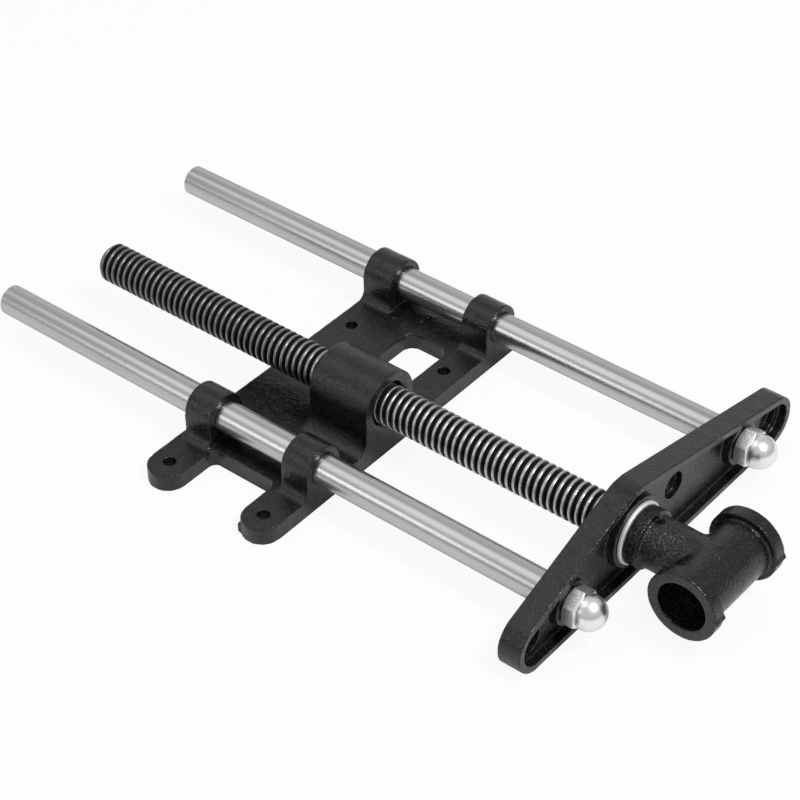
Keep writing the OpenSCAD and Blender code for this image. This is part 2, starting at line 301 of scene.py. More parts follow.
def bore(piece, centre, along, radius, reach):
    """Pushes the wall of a cast hole back to a true circle of this radius."""
    bm = bmesh.new()
    bm.from_mesh(piece.data)
    bm.normal_update()
    moved = 0
    for vert in bm.verts:
        out = radial(vert.co, centre, along)
        if out.length < radius + reach and vert.normal.dot(out) < WALL_FACING * out.length:
            vert.co += out * (radius / out.length - 1)
            moved += 1
    bm.to_mesh(piece.data)
    bm.free()
    print("bore of", round(2 * radius / MM, 2), "mm trued at", moved, "points")


# %% [markdown]
# ## What the mould left
# The mould left a few beads of iron on the bracket's base and a stub of flash on one ear. Each is a simple
# solid that is only put in its place, because the remesh joins whatever overlaps.

# %% Leftovers of the mould
BASE_TOP = 12 * MM
BEADS = {(122.4, 3.7): 1.8, (114.5, 4.4): 1.1, (107.8, 21.4): 1.1, (112.5, 27.4): 1.4}
BEAD_DETAIL = 2
FLASH_AT = Vector((-95.9, -28.9, 4.2)) * MM
FLASH_RADIUS = 1.8 * MM
FLASH_HEIGHT = 7 * MM
FLASH_SIDES = 16


def add_leftovers(piece):
    """Beads, at (x, y) places with radii in millimetres, and the stub of flash."""
    bm = bmesh.new()
    bm.from_mesh(piece.data)
    for (x, y), radius in BEADS.items():
        bmesh.ops.create_icosphere(bm, subdivisions=BEAD_DETAIL, radius=radius * MM,
                                   matrix=Matrix.Translation((x * MM, y * MM, BASE_TOP)))
    bmesh.ops.create_cone(bm, cap_ends=True, segments=FLASH_SIDES, radius1=FLASH_RADIUS,
                          radius2=FLASH_RADIUS, depth=FLASH_HEIGHT, matrix=Matrix.Translation(FLASH_AT))
    bm.to_mesh(piece.data)
    bm.free()
    print("leftovers:", len(BEADS), "beads and a stub of flash")


# %% [markdown]
# ## The bracket
# Four bosses carry the rods and a taller one is the nut. The nut's own thread is hidden by the screw that
# fills it, so it is bored out plain first, with the countersinks that show as a dark ring round the screw.
# The foot and the rod bores are machined, so the ripple leaves them alone.

# %% Bracket
BRACKET_GRAIN = 0.6 * MM
BRACKET_SOFTENING = 10
BRACKET_RIPPLES = ((0.15 * MM, 9 * MM), (0.04 * MM, 1.8 * MM))
FOOT = 0.5 * MM
OVERCUT = 1 * MM
BORE_MARGIN = 1 * MM
BORE_REACH = 0.4 * MM
ROD_CLEARANCE = 0.25 * MM
NUT_BORE = screw_radius + 0.6 * MM


def make_bracket():
    """The bracket casting, with its rod bores and its nut bore."""
    piece = merged_copy("bracket_casting", "bracket")
    front, rear = bracket_lo.y - OVERCUT, bracket_hi.y + OVERCUT
    nut_cut = [(front, 0), (front, NUT_BORE), (rear, NUT_BORE), (rear, 0)]
    combine(piece, DIFFERENCE=lathe(nut_cut, screw_line, Y_AXIS))
    add_leftovers(piece)
    cast(piece, BRACKET_GRAIN, BRACKET_SOFTENING)

    def machined(point):
        from_rods = min(radial(point, line, Y_AXIS).length for line in rod_lines.values())
        return point.z < FOOT or from_rods < rod_radius + BORE_MARGIN

    ripple(piece, BRACKET_RIPPLES, machined)
    thin_out(piece)
    for line in rod_lines.values():
        bore(piece, line, Y_AXIS, rod_radius + ROD_CLEARANCE, BORE_REACH)
    return stand_for(piece, "bracket")


bracket = make_bracket()

# %% [markdown]
# ## The front plate
# A flat casting with a raised rim, drawn up to a peak over the screw. It is thinner than the bracket and
# its corners are crisper, so it takes a finer grain and less softening. Its rear is the machined jaw face,
# which stays flat.

# %% Front plate
PLATE_GRAIN = 0.5 * MM
PLATE_SOFTENING = 8
PLATE_RIPPLES = ((0.12 * MM, 8 * MM), (0.03 * MM, 1.5 * MM))
JAW_FACE = 0.5 * MM


def make_front_plate():
    """The front plate casting."""
    piece = merged_copy("front_plate_casting", "front_plate")
    cast(piece, PLATE_GRAIN, PLATE_SOFTENING)
    ripple(piece, PLATE_RIPPLES, lambda point: point.y > plate_hi.y - JAW_FACE)
    thin_out(piece)
    return stand_for(piece, "front_plate")


front_plate = make_front_plate()

# %% [markdown]
# ## The tee hub
# The hub is the roughest casting, with sand grains standing in its skin. It is remeshed finely enough to
# carry a real ripple less than two millimetres wide, so that its highlights break up into sparks. Where the
# neck runs into the tee, the skin is smoothed many times over, which fills the corner as a fillet does.

# %% Tee hub
HUB_GRAIN = 0.55 * MM
HUB_SOFTENING = 4
HUB_RIPPLES = ((0.05 * MM, 1.6 * MM), (0.12 * MM, 6 * MM))
HUB_SEAT = 1 * MM
NECK_RADIUS = 16.5 * MM
NECK_FILLET = 4 * MM
FILLET_ROUNDS = 40
TEE_RADIUS = 18.5 * MM
HANDLE_MOUNT = next(row for row in frame["record"]["mounts"] if row["name"] == "handle_bore")
TEE_CENTRE = Vector(HANDLE_MOUNT["pos_m"])


def fillet(piece, near_crease, rounds):
    """Smooths the skin again where near_crease says so, which fills an inside corner."""
    bm = bmesh.new()
    bm.from_mesh(piece.data)
    skin = [vert for vert in bm.verts if near_crease(vert.co)]
    for _ in range(rounds):
        bmesh.ops.smooth_vert(bm, verts=skin, factor=SMOOTHING,
                              use_axis_x=True, use_axis_y=True, use_axis_z=True)
    bm.to_mesh(piece.data)
    bm.free()
    print("fillet on", len(skin), "points of", piece.name)


def make_tee_hub():
    """The hub casting, rough outside, with a fillet where the neck runs into the tee."""
    piece = merged_copy("tee_hub_casting", "tee_hub")
    cast(piece, HUB_GRAIN, HUB_SOFTENING)

    def crease(point):
        from_neck = radial(point, screw_axis, Y_AXIS).length - NECK_RADIUS
        from_tee = radial(point, TEE_CENTRE, X_AXIS).length - TEE_RADIUS
        return abs(from_neck) < NECK_FILLET and abs(from_tee) < NECK_FILLET

    fillet(piece, crease, FILLET_ROUNDS)
    ripple(piece, HUB_RIPPLES, lambda point: point.y > hub_hi.y - HUB_SEAT)
    return stand_for(piece, "tee_hub")


tee_hub = make_tee_hub()

# %% [markdown]
# ## Guide rods
# Each rod is a ground bar, turned down at the front to a stud that passes through the plate into the acorn
# nut. One lathe profile makes both.

# %% Guide rods
STUD_RADIUS = 7 * MM
STUD_BREAK = 0.6 * MM
ROD_BREAK = 1.2 * MM
SHOULDER_BREAK = 0.3 * MM


def make_rod(node):
    """One guide rod with its stud."""
    low, high = rod_boxes[node]
    shoulder = plate_hi.y
    profile = [(low.y, 0), (low.y, STUD_RADIUS - STUD_BREAK), (low.y + STUD_BREAK, STUD_RADIUS),
               (shoulder, STUD_RADIUS), (shoulder, rod_radius - SHOULDER_BREAK),
               (shoulder + SHOULDER_BREAK, rod_radius), (high.y - ROD_BREAK, rod_radius),
               (high.y, rod_radius - ROD_BREAK), (high.y, 0)]
    return stand_for(make_object(node + "_bar", lathe(profile, rod_lines[node], Y_AXIS)), node)


rods = [make_rod(node) for node in rod_boxes]

# %% [markdown]
# ## The thread
# A trapezoidal thread is one profile, a groove and a crest, wound along the bar. Spin with a step along the
# axis winds one turn. A turn ends where the next begins, so an Array modifier repeats it and welds the
# turns into one skin, which is far quicker than one long spin.

# %% Thread
PITCH = 5 * MM
THREAD_DEPTH = 2.75 * MM
ROOT_RADIUS = screw_radius - THREAD_DEPTH
CREST = 1.8 * MM
CREST_BREAK = 0.3 * MM
FLANK_SLOPE = math.tan(math.radians(15))
FLANK = THREAD_DEPTH * FLANK_SLOPE
LAND = PITCH - CREST - 2 * FLANK
TURN_STEPS = 48
TURN_WELD = 0.02 * MM


def thread_profile(start):
    """One groove and one crest, as (distance, radius) pairs, from a place along the axis."""
    rise, fall = start + LAND, start + LAND + 2 * FLANK + CREST
    brink, shoulder = CREST_BREAK * FLANK_SLOPE, screw_radius - CREST_BREAK
    return [(start, ROOT_RADIUS), (rise, ROOT_RADIUS),
            (rise + FLANK - brink, shoulder), (rise + FLANK + CREST_BREAK, screw_radius),
            (fall - FLANK - CREST_BREAK, screw_radius), (fall - FLANK + brink, shoulder),
            (fall, ROOT_RADIUS)]


def wind_thread(start, turns):
    """A bmesh of whole turns from a place along the axis, welded into one skin."""
    bm = bmesh.new()
    verts = [bm.verts.new((screw_axis.x, y, screw_axis.z + r)) for y, r in thread_profile(start)]
    edges = [bm.edges.new(pair) for pair in zip(verts, verts[1:])]
    bmesh.ops.spin(bm, geom=verts + edges, cent=screw_axis, axis=Y_AXIS, dvec=(0, PITCH / TURN_STEPS, 0),
                   angle=math.tau, steps=TURN_STEPS, use_merge=False, use_normal_flip=False,
                   use_duplicate=False)
    bmesh.ops.remove_doubles(bm, verts=bm.verts, dist=TURN_WELD)
    coil = make_object("coil", bm)
    repeat = coil.modifiers.new("turns", "ARRAY")
    repeat.count = turns
    repeat.use_relative_offset = False
    repeat.use_constant_offset = True
    repeat.constant_offset_displace = (0, PITCH, 0)
    repeat.use_merge_vertices = True
    repeat.merge_threshold = TURN_WELD
    apply_modifiers(coil)
    bm = bmesh.new()
    bm.from_mesh(coil.data)
    bpy.data.objects.remove(coil)
    bmesh.ops.remove_doubles(bm, verts=bm.verts, dist=TURN_WELD)
    print("thread wound with", turns, "turns and", len(bm.faces), "faces")
    return bm


# %% [markdown]
# ## The lead screw
# Two planes cut the coil square at its ends, and the rear end is chamfered. The front edge is extruded in
# to the journal's radius and then along, as the plain journal that turns in the plate. A separate journal
# could be bridged to the thread, but a bridge may twist, and an extruded edge keeps its points in order.

# %% Lead screw
JOURNAL_RADIUS = 9 * MM
END_PLAY = 0.3 * MM
THREAD_LEAD = 1 * MM
SPARE_TURNS = 2
SCREW_SHARP_ANGLE = 50
CM = 10 * MM


def open_edges(bm):
    """The edges round the mesh's openings."""
    return [edge for edge in bm.edges if edge.is_boundary]


def new_points(grown):
    """The points among what an extrusion made."""
    return [item for item in grown["geom"] if isinstance(item, bmesh.types.BMVert)]


def extrude_mouth(bm):
    """Extrudes the mesh's open edge in place and gives the new points."""
    return new_points(bmesh.ops.extrude_edge_only(bm, edges=open_edges(bm)))


def pull_to(vert, radius):
    """Moves a point straight in or out until it is this far from the screw's axis."""
    out = radial(vert.co, screw_axis, Y_AXIS)
    vert.co += out * (radius / out.length - 1)


def trim_ends(bm, front):
    """Cuts the coil square at both ends, and chamfers and closes the rear one."""
    for cut, outwards in ((front, -Y_AXIS), (screw_hi.y, Y_AXIS)):
        bmesh.ops.bisect_plane(bm, geom=bm.verts[:] + bm.edges[:] + bm.faces[:], dist=WELD,
                               plane_co=(0, cut, 0), plane_no=outwards, clear_outer=True)
    for vert in bm.verts:
        limit = ROOT_RADIUS + max(0, screw_hi.y - vert.co.y)
        if radial(vert.co, screw_axis, Y_AXIS).length > limit:
            pull_to(vert, limit)
    rear = [edge for edge in open_edges(bm) if edge.verts[0].co.y > screw_axis.y]
    bmesh.ops.holes_fill(bm, edges=rear, sides=0)


def make_lead_screw():
    """The screw: a wound thread, a chamfered rear end and a plain journal."""
    front = plate_hi.y + END_PLAY
    start = front + THREAD_LEAD - SPARE_TURNS * PITCH
    bm = wind_thread(start, math.ceil((screw_hi.y - start) / PITCH) + 1)
    trim_ends(bm, front)
    for vert in extrude_mouth(bm):
        pull_to(vert, JOURNAL_RADIUS)
    bmesh.ops.translate(bm, verts=extrude_mouth(bm), vec=(0, screw_lo.y - front, 0))
    bmesh.ops.holes_fill(bm, edges=open_edges(bm), sides=0)
    bmesh.ops.recalc_face_normals(bm, faces=bm.faces)
    print("screw volume in cm3:", round(bm.calc_volume(signed=True) / CM ** 3, 1))
    return stand_for(make_object("lead_screw_bar", bm, SCREW_SHARP_ANGLE), "lead_screw")


lead_screw = make_lead_screw()

# %% [markdown]
# ## Washer and pin
# Both are turned pieces: a bright ring between the plate and the hub, whose front edge was rounded by the
# press, and the short pin that locks the hub on the journal. The pin's ends are dished, so each shows as a
# dark hole with a thin lip.

# %% Washer and pin
EDGE_BREAK = 0.25 * MM
WASHER_ROUND = 1.3 * MM
WASHER_ROUND_STEPS = 8
WASHER_PLAY = 0.08 * MM
PIN_DISH = 2.5 * MM
PIN_LIP = 0.8 * MM


def quarter(steps):
    """Angles in even steps from zero to a right angle."""
    return [math.pi / 2 * i / steps for i in range(steps + 1)]


def make_washer():
    """The thrust washer, rounded at the front and with its rear edge broken."""
    low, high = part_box("thrust_washer")
    outer, inner = half_width((low, high)), JOURNAL_RADIUS + WASHER_PLAY
    front = [(low.y + WASHER_ROUND * (1 - math.sin(a)), outer - WASHER_ROUND * (1 - math.cos(a)))
             for a in quarter(WASHER_ROUND_STEPS)]
    profile = [(low.y, inner), *reversed(front), (high.y - EDGE_BREAK, outer),
               (high.y, outer - EDGE_BREAK), (high.y, inner), (low.y, inner)]
    return stand_for(make_object("washer_ring", lathe(profile, screw_line, Y_AXIS)), "thrust_washer")


def make_pin():
    """The cross pin, with a dish in each end."""
    low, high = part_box("hub_pin")
    centre, radius = middle((low, high)), half_width((low, high))
    lip = radius - PIN_LIP
    profile = [(low.z + PIN_DISH, 0), (low.z + PIN_DISH, lip - EDGE_BREAK), (low.z + EDGE_BREAK, lip),
               (low.z, lip + EDGE_BREAK), (low.z + EDGE_BREAK, radius), (high.z - EDGE_BREAK, radius),
               (high.z, lip + EDGE_BREAK), (high.z - EDGE_BREAK, lip),
               (high.z - PIN_DISH, lip - EDGE_BREAK), (high.z - PIN_DISH, 0)]
    bm = lathe(profile, Vector((centre.x, centre.y, 0)), Z_AXIS)
    return stand_for(make_object("hub_pin_bar", bm), "hub_pin")


washer = make_washer()
pin = make_pin()

# %% [markdown]
# ## Blanks for the acorn nuts
# An acorn nut is a hexagon with chamfered corners and a dome pressed on top. The hexagon is a six-sided
# prism. A turned blank with sloping shoulders trims its corners, as the real chamfer is turned. It runs past
# the hexagon's faces, because a Boolean is least sure where two faces lie in one plane. The dome is turned
# with a small groove at its foot.

# %% Blanks for the nuts
HEX_HEIGHT = 9.5 * MM
HEX_FACE = 21 * MM / 2
HEX_SLOPE = math.tan(math.radians(30))
BLANK_PAST = 0.5 * MM
DOME_RADIUS = 10.9 * MM
DOME_ARC_STEPS = 20
GROOVE_WIDTH = 0.6 * MM
GROOVE_DEPTH = 1.4 * MM


def hexagon(foot, corner):
    """A six-sided prism from its foot to the front, as wide as its corners' distance from the axis."""
    bm = bmesh.new()
    bmesh.ops.create_circle(bm, segments=6, radius=corner, cap_ends=True)
    bmesh.ops.rotate(bm, verts=bm.verts, cent=(0, 0, 0), matrix=Matrix.Rotation(math.pi / 2, 3, "X"))
    bmesh.ops.translate(bm, verts=bm.verts, vec=foot)
    top = new_points(bmesh.ops.extrude_face_region(bm, geom=bm.faces[:]))
    bmesh.ops.translate(bm, verts=top, vec=(0, -HEX_HEIGHT, 0))
    bmesh.ops.recalc_face_normals(bm, faces=bm.faces)
    return bm


def chamfer_blank(foot):
    """A turned blank whose sloping shoulders trim the hexagon's corners and run past its faces."""
    waist = HEX_FACE + HEX_HEIGHT / 2 / HEX_SLOPE
    end, past = HEX_FACE - BLANK_PAST / HEX_SLOPE, HEX_HEIGHT + BLANK_PAST
    profile = [(-BLANK_PAST, 0), (-BLANK_PAST, end), (HEX_HEIGHT / 2, waist), (past, end), (past, 0)]
    return lathe(profile, foot, -Y_AXIS)


def dome_blank(foot, height):
    """The dome of a nut of this height, with the groove at the dome's foot."""
    groove, rim = DOME_RADIUS - GROOVE_DEPTH, HEX_HEIGHT + GROOVE_WIDTH
    dome_foot = height - DOME_RADIUS
    arc = [(dome_foot + DOME_RADIUS * math.sin(a), DOME_RADIUS * math.cos(a))
           for a in quarter(DOME_ARC_STEPS)]
    profile = [(HEX_HEIGHT / 2, 0), (HEX_HEIGHT / 2, groove), (rim, groove), (rim, DOME_RADIUS), *arc]
    return lathe(profile, foot, -Y_AXIS)


print("hexagon height and dome radius in mm:", round(HEX_HEIGHT / MM, 2), round(DOME_RADIUS / MM, 2))

# %% [markdown]
# ## The acorn nuts
# Two Booleans put a nut together. They leave some points almost on each other, so these are welded before a
# fine bevel breaks the edges; a bevel on such points would fold over itself. A Boolean may list its points in
# another order on each run, so the mesh is sorted first.

# %% Acorn nuts
NUT_WELD = 0.02 * MM
ORDER_DIGITS = 8
NUT_EDGE = 0.2 * MM
NUT_EDGE_STEPS = 2
NUT_EDGE_FROM = math.radians(25)


def in_order(item):
    """A place to sort points, edges and faces by."""
    points = [item] if isinstance(item, bmesh.types.BMVert) else item.verts
    return sorted(tuple(round(v, ORDER_DIGITS) for v in point.co) for point in points)


def weld(piece):
    """Joins the points that the Booleans left almost on each other, in the same order on each run."""
    bm = bmesh.new()
    bm.from_mesh(piece.data)
    for items in (bm.verts, bm.edges, bm.faces):
        rank = {item: number for number, item in enumerate(sorted(items, key=in_order))}
        items.sort(key=rank.get)
    bmesh.ops.remove_doubles(bm, verts=bm.verts, dist=NUT_WELD)
    bmesh.ops.dissolve_degenerate(bm, edges=bm.edges, dist=NUT_WELD)
    bm.to_mesh(piece.data)
    bm.free()


def make_acorn_nut(node):
    """One acorn nut: a trimmed hexagon and its dome."""
    low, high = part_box(node)
    centre = middle((low, high))
    foot = Vector((centre.x, high.y, centre.z))
    piece = make_object(node + "_cap", hexagon(foot, half_width((low, high))))
    combine(piece, INTERSECT=chamfer_blank(foot), UNION=dome_blank(foot, high.y - low.y))
    weld(piece)
    bevel = piece.modifiers.new("edge", "BEVEL")
    bevel.width = NUT_EDGE
    bevel.segments = NUT_EDGE_STEPS
    bevel.limit_method = "ANGLE"
    bevel.angle_limit = NUT_EDGE_FROM
    apply_modifiers(piece)
    return stand_for(piece, node)


nuts = [make_acorn_nut(node) for node in ("acorn_nut_near", "acorn_nut_far")]

# %% [markdown]
# ## Writing shader maths as expressions
# A finish is a net of nodes. One small class wraps an output socket, so that values can be added and
# multiplied like numbers, and every other node comes from its one method, which takes the node's type, its
# settings and the values or wires of its sockets.

# %% Wire
class Wire:
    """An output socket of a node tree, with arithmetic that adds Math nodes."""

    def __init__(self, tree, socket=None):
        self.tree, self.socket = tree, socket

    def add(self, kind, settings=None, sockets=None, out=0):
        """A new node: settings are set first, then each socket gets its value or wire."""
        made = self.tree.nodes.new(kind)
        for key, value in (settings or {}).items():
            setattr(made, key, value)
        for key, value in (sockets or {}).items():
            if isinstance(value, Wire):
                self.tree.links.new(value.socket, made.inputs[key])
            else:
                made.inputs[key].default_value = value
        return Wire(self.tree, made.outputs[out]) if made.outputs else made

    def sister(self, name):
        """Another output of the node that this wire comes from."""
        return Wire(self.tree, self.socket.node.outputs[name])

    def maths(self, operation, first, second):
        return self.add("ShaderNodeMath", {"operation": operation}, {0: first, 1: second})

    def __add__(self, other):
        return self.maths("ADD", self, other)

    __radd__ = __add__

    def __mul__(self, other):
        return self.maths("MULTIPLY", self, other)

    __rmul__ = __mul__

    def __sub__(self, other):
        return self.maths("SUBTRACT", self, other)

    def __rsub__(self, other):
        return self.maths("SUBTRACT", other, self)

    def __pow__(self, other):
        return self.maths("POWER", self, other)

    def __rpow__(self, other):
        return self.maths("POWER", other, self)


# %% [markdown]
# ## What the finishes share
# Every finish here is noise at the right scale: it is stretched to a mask, mixes two colours and gives the
# roughness and the relief. These helpers are those steps. They read Object coordinates, which need no
# unwrapping and stay put on the piece when it moves. All noise is in cells a metre, so 400 is a grain of
# two and a half millimetres.

# %% Finish helpers
def rgb(red, green=None, blue=None):
    """A colour with full alpha; one number makes a grey."""
    return (red, red if green is None else green, red if blue is None else blue, 1)


def ground(name):
    """A new material with an empty node tree, and a wire to start from."""
    material = bpy.data.materials.new(name)
    material.use_nodes = True
    material.node_tree.nodes.clear()
    return material, Wire(material.node_tree)


def place(net):
    """The object's own coordinates."""
    return net.add("ShaderNodeTexCoord", out="Object")


def split(net, where):
    """A wire whose sisters X, Y and Z are a vector's parts."""
    return net.add("ShaderNodeSeparateXYZ", {}, {"Vector": where})


def grain(net, where, cells, detail, stretch=(1, 1, 1)):
    """Noise from 0 to 1 with this many cells a metre, stretched along the axes."""
    at = net.add("ShaderNodeMapping", {"vector_type": "POINT"}, {"Vector": where, "Scale": stretch})
    return net.add("ShaderNodeTexNoise", {}, {"Vector": at, "Scale": cells, "Detail": detail}, out="Fac")


def spread(net, value, low, high):
    """Stretches a value's range from low to high over 0 to 1, and clips it."""
    return net.add("ShaderNodeMapRange", {"clamp": True},
                   {"Value": value, "From Min": low, "From Max": high})


def blend(net, share, first, second):
    """A colour between two, by a share."""
    return net.add("ShaderNodeMix", {"data_type": "RGBA"}, {"Factor": share, 6: first, 7: second}, out=2)


def bump(net, height, strength, depth):
    """A normal that makes the height show as relief of this depth."""
    return net.add("ShaderNodeBump", {}, {"Height": height, "Strength": strength, "Distance": depth})


def close(net, **sockets):
    """The shader and the output that end a net."""
    names = {key.replace("_", " ").title(): value for key, value in sockets.items()}
    surface = net.add("ShaderNodeBsdfPrincipled", {}, names)
    net.add("ShaderNodeOutputMaterial", {}, {"Surface": surface})


def coat_with(material, *pieces):
    """Gives the pieces their finish."""
    for piece in pieces:
        piece.data.materials.append(material)
    print(material.name, "on", [piece.name for piece in pieces])


# %% [markdown]
# ## Black enamel on iron
# The bracket and the plate are dipped in black enamel over a sand casting. It is nearly black and glossy,
# so what shows is what it reflects: the slow unevenness of the casting and a fine grain break those
# reflections up. Paler specks on the highest grains are painted glints, standing in for light on them.

# %% Black enamel
ENAMEL_HOLLOW = rgb(0.003)
ENAMEL_DUSTY = rgb(0.013, 0.013, 0.0135)
# Colour of the painted glints: paler specks on the highest grains.
ENAMEL_PAINTED_GLINT = rgb(0.022)
ENAMEL_RELIEF = 0.9 * MM


def black_enamel():
    """Glossy black enamel on sand-cast iron."""
    material, net = ground("black_enamel")
    where = place(net)
    swell = grain(net, where, cells=110, detail=3)
    peel = grain(net, where, cells=460, detail=2)
    tooth = grain(net, where, cells=1000, detail=2)
    relief = swell * 0.25 + peel * 0.4 + tooth * 0.35
    dust = spread(net, swell * 0.3 + peel * 0.3 + tooth * 0.4, 0.4, 0.62)
    # Painted glints: the highest grains are painted paler, standing in for light catching them.
    pale_tops = spread(net, peel * 0.4 + tooth * 0.6, 0.54, 0.64)
    coat = blend(net, dust, ENAMEL_HOLLOW, ENAMEL_DUSTY)
    shade = blend(net, pale_tops, coat, ENAMEL_PAINTED_GLINT)
    gloss = 0.1 + 0.1 * swell + 0.1 * peel
    skin = bump(net, relief, strength=0.8, depth=ENAMEL_RELIEF)
    close(net, base_color=shade, roughness=gloss, normal=skin)
    return material


coat_with(black_enamel(), bracket, front_plate)

# %% [markdown]
# ## Rough black casting
# The hub has the same black coat over a coarser skin: the coat sinks between the sand grains, so the relief
# is deeper, its hollows are dull and its tops are glossy enough to spark. The highest grains are painted as
# metal-grey specks, a painted sparkle standing in for glints of light on them. Hands have worn the tee
# smoother than the neck, so the relief fades from the neck to the tee, and the painted sparkle fades too.

# %% Rough casting
CASTING_HOLLOW = rgb(0.002)
CASTING_TOP = rgb(0.008, 0.008, 0.0085)
# Colour of the painted sparkle: metal-grey specks on the hub's highest grains.
PAINTED_SPARKLE_IRON = rgb(0.13)
CASTING_RELIEF = 1 * MM
NECK_FROM = TEE_CENTRE.y + 14 * MM
NECK_FULL = TEE_CENTRE.y + 24 * MM


def rough_casting():
    """Black coat on coarse sand-cast iron."""
    material, net = ground("rough_casting")
    where = place(net)
    sand = grain(net, where, cells=1000, detail=1)
    lump = grain(net, where, cells=420, detail=2)
    relief = sand * 0.6 + lump * 0.4
    tops = spread(net, relief, 0.4, 0.6)
    neck = spread(net, split(net, where).sister("Y"), NECK_FROM, NECK_FULL)
    # Painted sparkle: the highest sand grains are painted metal-grey, strongest on the neck and fading to the
    # tee.
    pale_tops = spread(net, sand, 0.56, 0.66) * (0.2 + 0.8 * neck)
    coat = blend(net, tops, CASTING_HOLLOW, CASTING_TOP)
    shade = blend(net, pale_tops, coat, PAINTED_SPARKLE_IRON)
    gloss = 0.18 - 0.1 * tops
    skin = bump(net, relief * (0.6 + 0.4 * neck), strength=0.9, depth=CASTING_RELIEF)
    close(net, base_color=shade, metallic=pale_tops, roughness=gloss, normal=skin)
    return material


coat_with(rough_casting(), tee_hub)

# %% [markdown]
# ## Ground steel
# A ground rod has faint streaks along its length and very fine rings round it from the wheel. Both come
# from noise that is stretched: along Y for the streaks, across it for the rings. Only the streaks are deep
# enough to bend reflections; the rings just tint the steel.

# %% Ground steel
STEEL_DARK = rgb(0.5, 0.5, 0.503)
STEEL_BRIGHT = rgb(0.61, 0.61, 0.612)
STREAK_RELIEF = 0.06 * MM
ALONG_ROD = (1, 0.012, 1)
ROUND_ROD = (0.02, 1, 0.02)
CLOUDS_ALONG = (1, 0.3, 1)


def ground_steel():
    """Centreless-ground bright steel."""
    material, net = ground("ground_steel")
    where = place(net)
    streak = grain(net, where, cells=500, detail=3, stretch=ALONG_ROD)
    ring = grain(net, where, cells=3500, detail=2, stretch=ROUND_ROD)
    cloud = grain(net, where, cells=45, detail=2, stretch=CLOUDS_ALONG)
    wear = spread(net, streak * 0.6 + cloud * 0.25 + ring * 0.15, 0.35, 0.65)
    shade = blend(net, wear, STEEL_DARK, STEEL_BRIGHT)
    gloss = 0.21 + 0.08 * streak + 0.05 * cloud
    skin = bump(net, streak, strength=0.15, depth=STREAK_RELIEF)
    close(net, base_color=shade, metallic=1.0, roughness=gloss, normal=skin)
    return material


coat_with(ground_steel(), *rods)

# %% [markdown]
# ## Oiled thread with rubbed crests
# The screw is black with oil and scale in its grooves, and its crests are rubbed grey by the nut. The
# distance from the screw's axis tells a crest from a groove, so the wear follows the thread by itself, and
# noise breaks it up. The rear stretch is seldom screwed into the nut, so its crests are duller.

# %% Thread steel
OILED = rgb(0.01, 0.01, 0.0095)
RUBBED_CREST = rgb(0.6, 0.59, 0.575)
DULL_CREST = rgb(0.26, 0.255, 0.245)
WEAR_FROM = screw_radius - 0.6 * MM
WEAR_FULL = screw_radius - 0.1 * MM
WEAR_BREAK_UP = 0.9 * MM
THREAD_RELIEF = 0.3 * MM


def thread_steel():
    """Dark screw steel, worn on the crests."""
    material, net = ground("thread_steel")
    where = place(net)
    apart = split(net, where)
    x, z = apart.sister("X") - screw_axis.x, apart.sister("Z") - screw_axis.z
    radius = (x * x + z * z) ** 0.5
    rub = grain(net, where, cells=420, detail=3)
    fine = grain(net, where, cells=1500, detail=2)
    crest = spread(net, radius + (rub - 0.5) * WEAR_BREAK_UP, WEAR_FROM, WEAR_FULL)
    unused = spread(net, apart.sister("Y"), bracket_lo.y, bracket_hi.y)
    pale_tops = blend(net, unused, RUBBED_CREST, DULL_CREST)
    shade = blend(net, crest, OILED, pale_tops)
    gloss = 0.42 - 0.1 * crest + 0.15 * (fine - 0.5)
    skin = bump(net, fine, strength=0.3, depth=THREAD_RELIEF)
    close(net, base_color=shade, metallic=0.3 + 0.7 * crest, roughness=gloss, normal=skin)
    return material


coat_with(thread_steel(), lead_screw)

# %% [markdown]
# ## The pin's black ends
# The pin sits a little below the neck's skin and was dipped with the hub, so it only shows as a dark hole.

# %% Pin steel
PIN_HOLLOW = rgb(0.003)
PIN_COAT = rgb(0.008)
PIN_RELIEF = 0.4 * MM


def pin_steel():
    """Blackened steel, dull from the hub's coat."""
    material, net = ground("pin_steel")
    coat = grain(net, place(net), cells=900, detail=3)
    shade = blend(net, spread(net, coat, 0.35, 0.65), PIN_HOLLOW, PIN_COAT)
    skin = bump(net, coat, strength=0.5, depth=PIN_RELIEF)
    close(net, base_color=shade, roughness=0.5 + 0.2 * coat, normal=skin)
    return material


coat_with(pin_steel(), pin)

# %% [markdown]
# ## Bright plating
# The acorn nuts and the washer are zinc plated: a light satin with a cloudy, slightly pitted skin. The
# nuts' domes and chamfers are bright. The flats below them are rougher and painted greyer and mottled,
# partly their own duller zinc and partly a painted reflection of the dark plate. The washer is stamped
# and tumbled, so it is hazier than the nuts.

# %% Plating
PLATING_CLOUDY = rgb(0.88, 0.88, 0.882)
PLATING_CLEAR = rgb(0.97)
# Colours of the flats: greyer zinc, darkened further as a painted reflection of the dark plate.
FLATS_DARK = rgb(0.48, 0.48, 0.482)
FLATS_PALE = rgb(0.76)
PLATING_RELIEF = 0.3 * MM
NUT_HAZE = 0.24
WASHER_HAZE = 0.6
CHAMFER_WIDTH = 1.5 * MM
NUT_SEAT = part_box("acorn_nut_near")[1].y
FLATS_FROM = NUT_SEAT - HEX_HEIGHT + CHAMFER_WIDTH / 2
NO_FLATS = NUT_SEAT + HEX_HEIGHT


